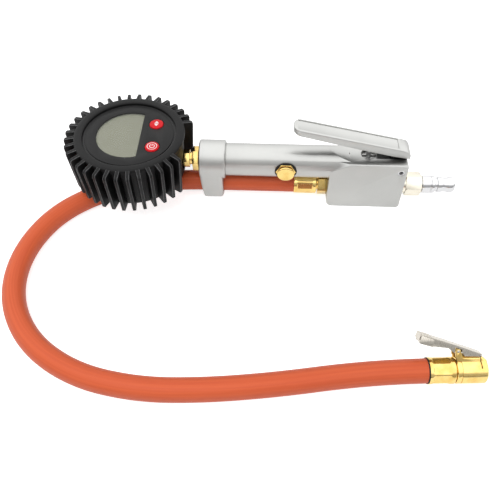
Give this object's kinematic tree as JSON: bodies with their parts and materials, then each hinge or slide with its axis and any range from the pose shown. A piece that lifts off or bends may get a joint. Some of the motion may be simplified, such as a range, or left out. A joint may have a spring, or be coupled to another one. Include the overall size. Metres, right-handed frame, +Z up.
{
  "type": "portable tire inflator",
  "caption": "Hand tire inflator: lever valve on a barrel, digital gauge in a ribbed boot, air inlet plug, and a rubber hose with a clip-on chuck.",
  "frame": {"origin": "on the surface that the tool lies on, under the middle of the rigid tool from the gauge's boot to the inlet plug", "axes": "+X along the barrel from the gauge to the inlet plug, +Z up, -Y towards the bleed button and the chuck"},
  "size_m": [0.2872, 0.201, 0.0619],
  "materials": {
    "cast_metal": "satin cast",
    "seal_rubber": "matte",
    "boot_rubber": "matte",
    "case_plastic": "matte",
    "screw_steel": "satin",
    "board": "satin",
    "display": "gloss",
    "panel_plastic": "satin",
    "window": "clear",
    "button_plastic": "satin",
    "cell_jacket": "gloss",
    "lead": "satin",
    "brass": "satin",
    "nickel_brass": "satin",
    "washer_fibre": "matte",
    "spring_steel": "satin",
    "pin_steel": "polished",
    "plug_steel": "polished",
    "clip_steel": "polished",
    "hose_rubber": "satin"
  },
  "bodies": {
    "base": {"valve_body": "cast_metal", "barrel_end_cap": "cast_metal", "end_cap_seal": "seal_rubber", "gauge_boot": "boot_rubber", "gauge_case": "case_plastic", "gauge_back_cover": "case_plastic", "back_cover_screws": "screw_steel", "board_screws": "screw_steel", "circuit_board": "board", "lcd_display": "display", "face_panel": "panel_plastic", "lcd_window": "window", "button_switches": "case_plastic", "battery_tray": "case_plastic", "battery_cells": "cell_jacket", "battery_contacts": "screw_steel", "battery_leads": "lead", "gauge_stem": "brass", "stem_seal": "seal_rubber", "sensor_nut": "brass", "pressure_sensor": "screw_steel", "gauge_connector": "brass", "connector_washer": "washer_fibre", "bleed_bush": "brass", "bleed_spring": "spring_steel", "bleed_washer": "seal_rubber", "valve_plug": "brass", "plug_washer": "washer_fibre", "valve_seat": "brass", "stem_gland": "screw_steel", "stem_oring": "seal_rubber", "valve_spring": "spring_steel", "lever_pin": "pin_steel", "inlet_adapter": "nickel_brass", "inlet_washer": "washer_fibre", "inlet_filter": "spring_steel", "inlet_plug": "plug_steel", "hose_fitting": "brass", "hose_ferrule": "brass", "hose": "hose_rubber", "chuck_ferrule": "brass", "chuck_stem": "brass", "chuck_body": "brass", "chuck_depressor": "brass", "chuck_seal": "seal_rubber", "clip_pin": "clip_steel", "clip_spring": "spring_steel"},
    "lever": {"trigger_lever": "cast_metal"},
    "valve": {"valve_stem": "pin_steel", "valve_poppet": "brass", "poppet_seal": "seal_rubber"},
    "bleed": {"bleed_button": "brass", "bleed_stem": "brass", "bleed_seal": "seal_rubber"},
    "power_key": {"power_button": "button_plastic"},
    "unit_key": {"unit_button": "button_plastic"},
    "clip": {"chuck_clip": "clip_steel"}
  },
  "joints": [
    {"name": "lever_hinge", "type": "hinge", "parent": "base", "child": "lever", "pos_m": [0.0875, 0, 0.0318], "axis": [0, -1, 0], "range_deg": [0, 12], "stiffness_Nm_per_rad": 1.5, "springref_deg": -2.86},
    {"name": "valve_slide", "type": "slide", "parent": "base", "child": "valve", "axis": [0, 0, -1], "range_m": [0, 0.00478], "deforming": ["valve_spring"]},
    {"name": "bleed_slide", "type": "slide", "parent": "base", "child": "bleed", "axis": [0, 1, 0], "range_m": [0, 0.001], "stiffness_N_per_m": 1500, "springref_m": -0.001, "deforming": ["bleed_spring"]},
    {"name": "power_slide", "type": "slide", "parent": "base", "child": "power_key", "axis": [0, 0, -1], "range_m": [0, 0.0005], "stiffness_N_per_m": 1500, "springref_m": -0.0003},
    {"name": "unit_slide", "type": "slide", "parent": "base", "child": "unit_key", "axis": [0, 0, -1], "range_m": [0, 0.0005], "stiffness_N_per_m": 1500, "springref_m": -0.0003},
    {"name": "clip_hinge", "type": "hinge", "parent": "base", "child": "clip", "pos_m": [0.10576, -0.1293, 0.01598], "axis": [0.0383, -0.7304, 0.682], "range_deg": [0, 14], "stiffness_Nm_per_rad": 0.2, "springref_deg": -5.73}
  ],
  "couplings": [
    {"joint": "valve_slide", "follows": "lever_hinge", "m_per_rad": 0.0228}
  ]
}
